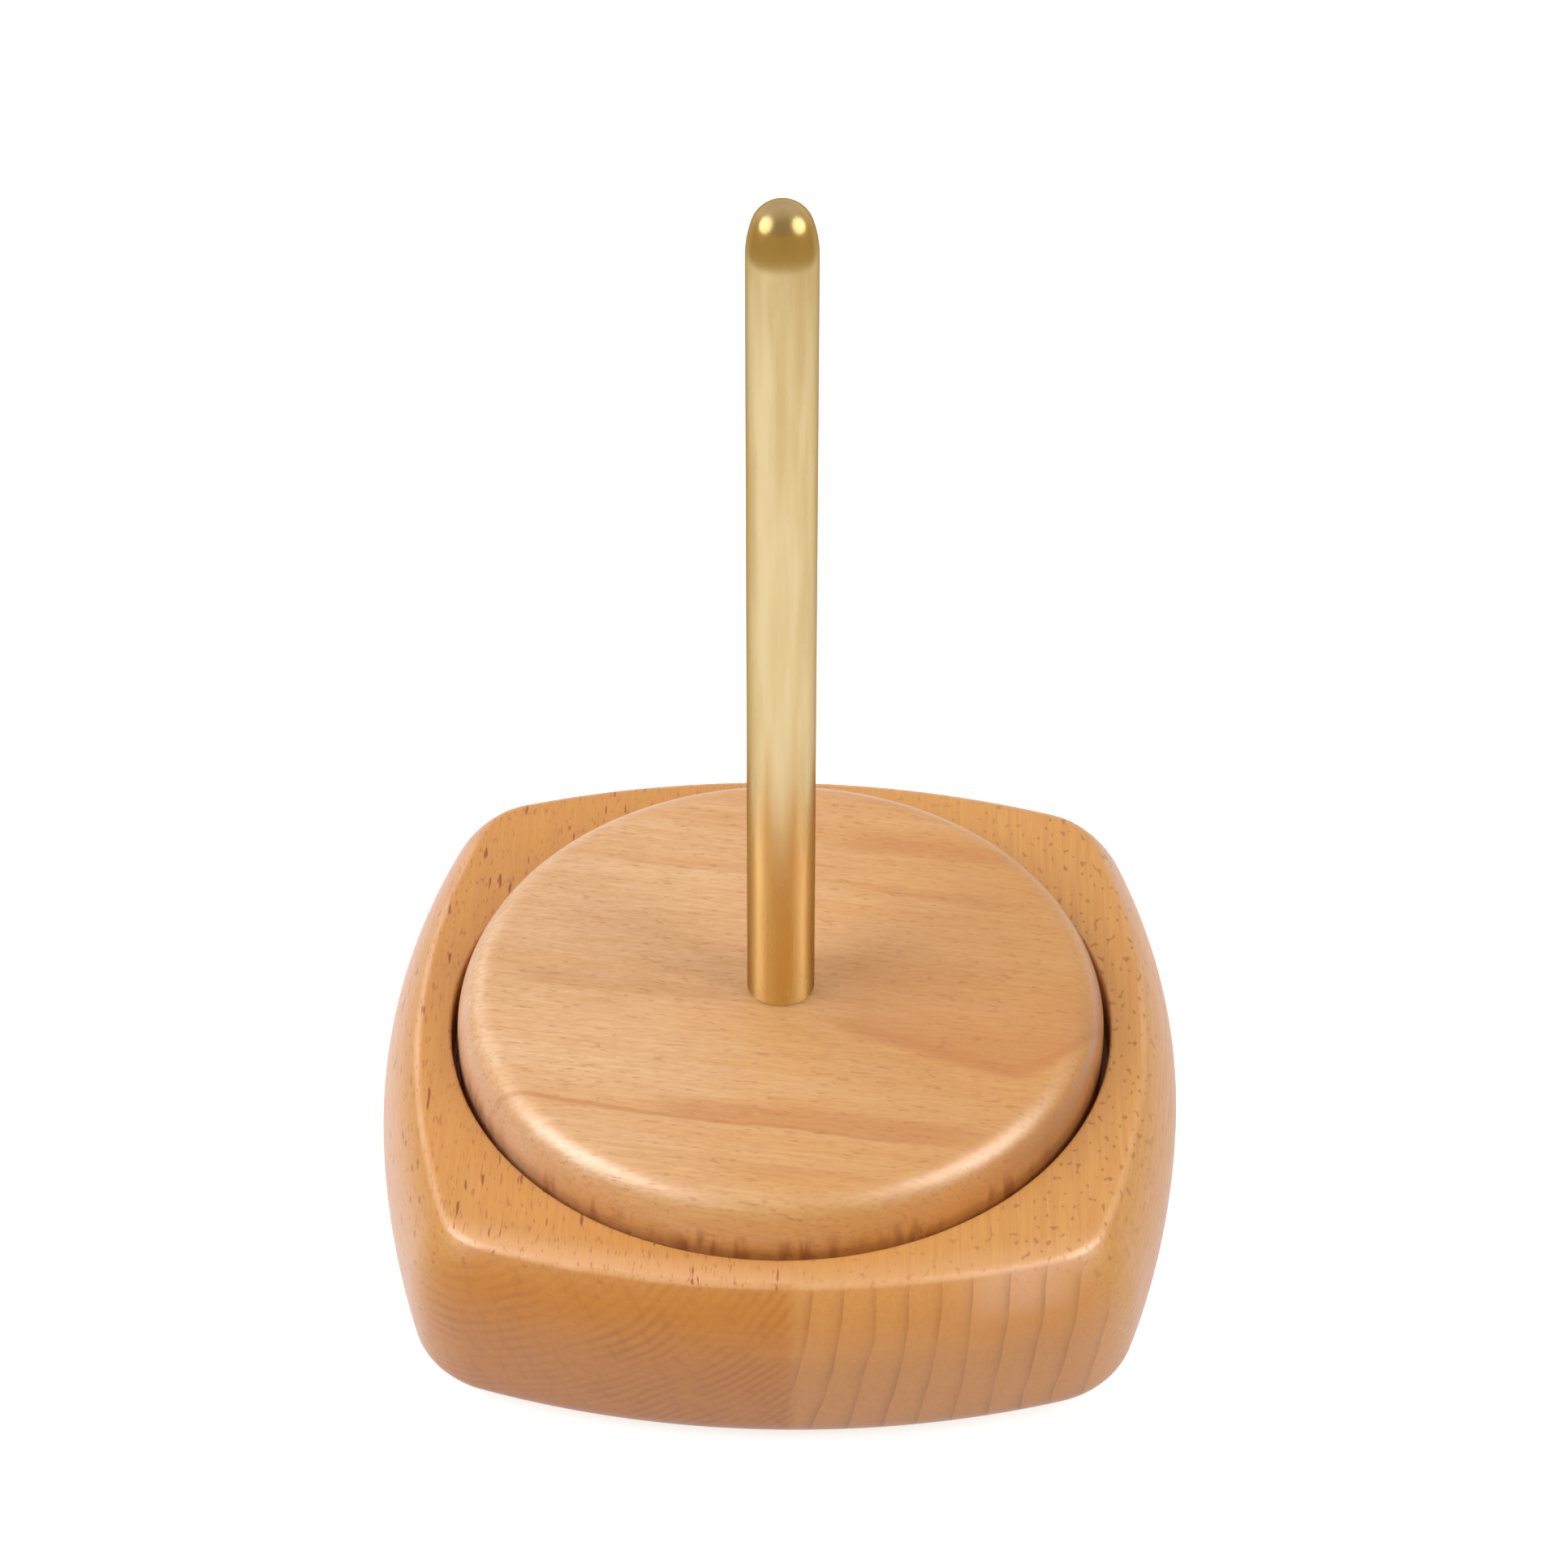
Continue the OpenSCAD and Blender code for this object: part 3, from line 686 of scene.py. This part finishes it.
def moulded(name, colour, shade, roughness, soft=0.0):
    """A moulded plastic or rubber with a fine, even grain."""
    p = Paint(name)
    tone = p.noise(p.place(), scale=0.4, detail=3)
    grain = p.noise(p.place(), scale=6)
    return p.principled(
        base_color=p.mix(tone, colour, shade),
        roughness=p.between(grain, 0.3, 0.7, roughness, roughness * 1.2),
        subsurface_weight=soft, subsurface_scale=0.001,
        normal=p.bump(grain, strength=0.3, distance=0.03),
    )


def dress(node, material):
    """Gives a CAD node's object a material in every slot."""
    slots = bpy.data.objects[node].material_slots
    if not slots:
        bpy.data.objects[node].data.materials.append(material)
    for slot in slots:
        slot.material = material


def stand_in(piece, node, body, material):
    """Puts a piece in a CAD node's place."""
    piece.data.materials.clear()
    piece.data.materials.append(material)
    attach(piece, body)
    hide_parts(node)


stand_in(base_block(), "base_block", "base", beech_block())
stand_in(turntable_disc(), "turntable_disc", "turntable", beech_turntable())
stand_in(spindle(), "spindle_rod", "turntable", brass())

# The pieces that the CAD model shows as they are
bearing_steel = metal("bearing_steel", rgb(196, 198, 200), rgb(180, 182, 185), 0.18)
ball_steel = metal("ball_steel", rgb(212, 214, 216), rgb(200, 202, 205), 0.08)
spring_steel = metal("spring_steel", rgb(92, 92, 94), rgb(78, 78, 80), 0.36)
shield_steel = metal("shield_steel", rgb(188, 190, 192), rgb(170, 172, 175), 0.32)
zinc_plate = metal("zinc_plate", rgb(178, 184, 190), rgb(160, 164, 166), 0.38)
hub_steel = metal("hub_steel", rgb(150, 152, 154), rgb(132, 134, 137), 0.34)
screw_brass = metal("screw_brass", rgb(206, 176, 104), rgb(190, 158, 88), 0.3)
silicone = moulded("silicone", rgb(214, 212, 206), rgb(204, 201, 194), 0.5, soft=0.2)
nylon = moulded("nylon", rgb(232, 226, 208), rgb(224, 216, 196), 0.42)
plug_plastic = moulded("plug_plastic", rgb(58, 56, 54), rgb(50, 48, 47), 0.45)
FINISHES = [
    (silicone, ["foot_front_left", "foot_front_right", "foot_rear_left", "foot_rear_right"]),
    (bearing_steel, ["bearing_outer_ring", "bearing_inner_ring"]),
    (ball_steel, ["bearing_balls"]),
    (spring_steel, ["hub_lock_washer"]),
    (shield_steel, ["bearing_upper_shield", "bearing_lower_shield"]),
    (zinc_plate, ["bearing_retainer", "rod_stud", "hub_screws", "hub_washer", "hub_screw"]),
    (hub_steel, ["turntable_hub"]),
    (screw_brass, ["retainer_screws"]),
    (nylon, ["bearing_cage"]),
    (plug_plastic, ["access_plug"]),
]
for material, nodes in FINISHES:
    for node in nodes:
        dress(node, material)

# The studio, in metres: a floor with a low wall all round
FLOOR_R = 2.2
WALL_BEND = 0.4
WALL_TOP = 0.62
# The floor lies this far under the feet, so that no two faces lie in one plane
FLOOR_DROP = 0.00005
FLOOR_SHADE = 0.55
CAMERA_GLOW = 0.78
GLOSS_GLOW = 0.48
WHITE = (1, 1, 1, 1)
# The glow that shiny pieces see is a little bluer, which gives the brass the photograph's tone
COOL_WHITE = (1, 1, 1.25, 1)


def stage_white():
    """Matt white that takes shadows. The camera, shiny pieces and glass see it glow a little, so
    that it is white, and a view from below looks through it."""
    p = Paint("stage_white")
    path = p.node("LightPath").outputs
    shiny = p.most(path["Is Glossy Ray"], path["Is Transmission Ray"])
    glow = p.plus(p.times(path["Is Camera Ray"], CAMERA_GLOW), p.times(shiny, GLOSS_GLOW))
    tone = p.mix(shiny, WHITE, COOL_WHITE)
    light = p.node("Emission", {"Color": tone, "Strength": glow}).outputs[0]
    grey = (FLOOR_SHADE, FLOOR_SHADE, FLOOR_SHADE, 1)
    matt = p.node("BsdfDiffuse", {"Color": grey}).outputs[0]
    lit = p.node("AddShader", {0: matt, 1: light}).outputs[0]
    below = p.times(p.node("NewGeometry").outputs["Backfacing"], path["Is Camera Ray"])
    clear = p.node("BsdfTransparent").outputs[0]
    return p.surface(p.node("MixShader", {0: below, 1: lit, 2: clear}).outputs[0])


def stage_piece(name, profile, material):
    """A round piece of the studio, from (radius, height) points in metres, that faces the
    object."""
    piece = lathe(name, [(r / MM, z / MM) for r, z in profile], CIRCLE_STEPS)
    if piece.data.polygons[0].normal.z < 0:
        piece.data.flip_normals()
    piece.data.materials.append(material)
    return piece


bend = arc((FLOOR_R, WALL_BEND), WALL_BEND, -90, 0, ROUND_STEPS)
floor = stage_piece("floor", [(0, 0), *bend, (FLOOR_R + WALL_BEND, WALL_TOP)], stage_white())
floor.location.z = -FLOOR_DROP

# The table in the photograph ends near the holder, and polished brass shows the dim room beyond it.
# This surround stands in for that room, for reflections only. It is narrower in X than in Y
ROOM = [(0.3, 0.002), (0.31, 0.1), (2.0, 0.5), (2.1, 0.75)]
ROOM_NARROW = 0.88
ROOM_DIM = (0.46, 0.32, 0.13, 1)
ROOM_PALE = (0.85, 0.78, 0.66, 1)


def room_shade():
    """Dim and warm in front and at the sides, paler behind."""
    p = Paint("room_shade")
    y = p.axes(p.node("VectorMath", {0: p.place()}, operation="NORMALIZE").outputs[0])[1]
    shade = p.mix(p.between(y, 0.2, 0.8), ROOM_DIM, ROOM_PALE)
    return p.surface(p.node("Emission", {"Color": shade, "Strength": 1.0}).outputs[0])


room = stage_piece("room", ROOM, room_shade())
room.scale.x = ROOM_NARROW
room.visible_camera = False
room.visible_diffuse = False
room.visible_shadow = False
room.visible_transmission = False

# Where the lamps point, and the directions in which they stand
AIM = Vector((0, 0, 0.06))
LEFT, RIGHT = (-0.73, -0.25, 0.63), (0.73, -0.25, 0.63)
BACK_LEFT = (-0.66, 0.68, 0.34)
NEAR_LEFT, NEAR_RIGHT = (-0.25, -0.05, 0.24), (0.25, -0.05, 0.24)
# The pieces that gleam as lacquered wood
WOOD = ("block", "turntable")


def softbox(name, direction, distance, size, watts, tall=1.0, only=(), but=()):
    """An oval lamp that faces the holder. It may light only some pieces, or all but some."""
    lamp = bpy.data.lights.new(name, "AREA")
    lamp.shape = "ELLIPSE"
    lamp.size = size
    lamp.size_y = size * tall
    lamp.energy = watts
    made = bpy.data.objects.new(name, lamp)
    way = Vector(direction).normalized()
    made.location = AIM + way * distance
    made.rotation_euler = way.to_track_quat("Z", "Y").to_euler()
    bpy.context.collection.objects.link(made)
    if only or but:
        named = bpy.data.collections.new(name + "_pieces")
        for piece in (*only, *but):
            named.objects.link(bpy.data.objects[piece])
        for entry in named.collection_objects:
            entry.light_linking.link_state = "EXCLUDE" if but else "INCLUDE"
        made.light_linking.receiver_collection = named
    return made


main_left = softbox("softbox_left", LEFT, distance=0.95, size=0.72, watts=5.2)
main_right = softbox("softbox_right", RIGHT, distance=0.95, size=0.72, watts=4.6)
main_left.visible_glossy = main_right.visible_glossy = False
softbox("panel_back_left", BACK_LEFT, distance=1.2, size=0.6, watts=2.5, but=("spindle",))
# What shiny surfaces see of the softboxes: nearer, and dimmer in the brass than in the lacquer
for name, way in (("left", NEAR_LEFT), ("right", NEAR_RIGHT)):
    gloss = softbox("gloss_" + name, way, distance=0.35, size=0.17, watts=1.35, tall=1.8, only=WOOD)
    glint = softbox("glint_" + name, way, distance=0.35, size=0.26, watts=0.3, but=WOOD)
    gloss.visible_diffuse = glint.visible_diffuse = False

# The world's tone goes from dim to pale along this direction
WORLD_WAY = (-0.12, 0.85, 0.5)
WORLD_DIM = (0.34, 0.27, 0.17, 1)
WORLD_PALE = (0.64, 0.56, 0.58, 1)
WORLD_STEPS = (0.1, 0.75)


def studio_world():
    """A dim room, warm in front of the holder and pale behind and above it."""
    world = bpy.data.worlds.new("studio")
    world.use_nodes = True
    tree = world.node_tree
    direction = tree.nodes.new("ShaderNodeTexCoord").outputs["Generated"]
    slope = tree.nodes.new("ShaderNodeVectorMath")
    slope.operation = "DOT_PRODUCT"
    slope.inputs[1].default_value = WORLD_WAY
    tree.links.new(direction, slope.inputs[0])
    ramp = tree.nodes.new("ShaderNodeValToRGB")
    for stop, at, tone in zip(ramp.color_ramp.elements, WORLD_STEPS, (WORLD_DIM, WORLD_PALE)):
        stop.position = at
        stop.color = tone
    tree.links.new(slope.outputs["Value"], ramp.inputs["Fac"])
    tree.links.new(ramp.outputs["Color"], tree.nodes["Background"].inputs["Color"])
    bpy.context.scene.world = world


studio_world()
bpy.context.scene.view_settings.view_transform = "Standard"

# Camera, solved from the photograph's outlines: focal length in the photograph's pixels, angles in
# radians, and the place that it aims at
IMAGE_W = 1932
SENSOR_W = 36
FOCAL_PX = 6434.7
CAM_RISE = 0.718126
CAM_FAR = 753.94
AIM_X = 0.40
AIM_Z = 77.10
CAM_ROLL = 0.002587
CAM_TURN = 0.024309
# Nearest and furthest that it sees, in metres
CLIP = (0.01, 20)


def camera():
    """Makes the camera and puts it on the scene."""
    data = bpy.data.cameras.new("camera")
    data.sensor_width = SENSOR_W
    data.lens = FOCAL_PX / IMAGE_W * SENSOR_W
    data.clip_start, data.clip_end = CLIP
    made = bpy.data.objects.new("camera", data)
    bpy.context.collection.objects.link(made)
    bpy.context.scene.camera = made
    place = Vector((0, -CAM_FAR * cos(CAM_RISE), CAM_FAR * sin(CAM_RISE) + AIM_Z)) * MM
    back = (place - Vector((AIM_X, 0, AIM_Z)) * MM).normalized()
    across = Vector((0, 0, 1)).cross(back).normalized()
    up = back.cross(across)
    level, tipped = cos(CAM_ROLL), sin(CAM_ROLL)
    axes = Matrix((level * across + tipped * up, level * up - tipped * across, back)).transposed()
    turn = Matrix.Rotation(CAM_TURN, 4, "Z")
    made.matrix_world = turn @ Matrix.Translation(place) @ axes.to_4x4()


camera()
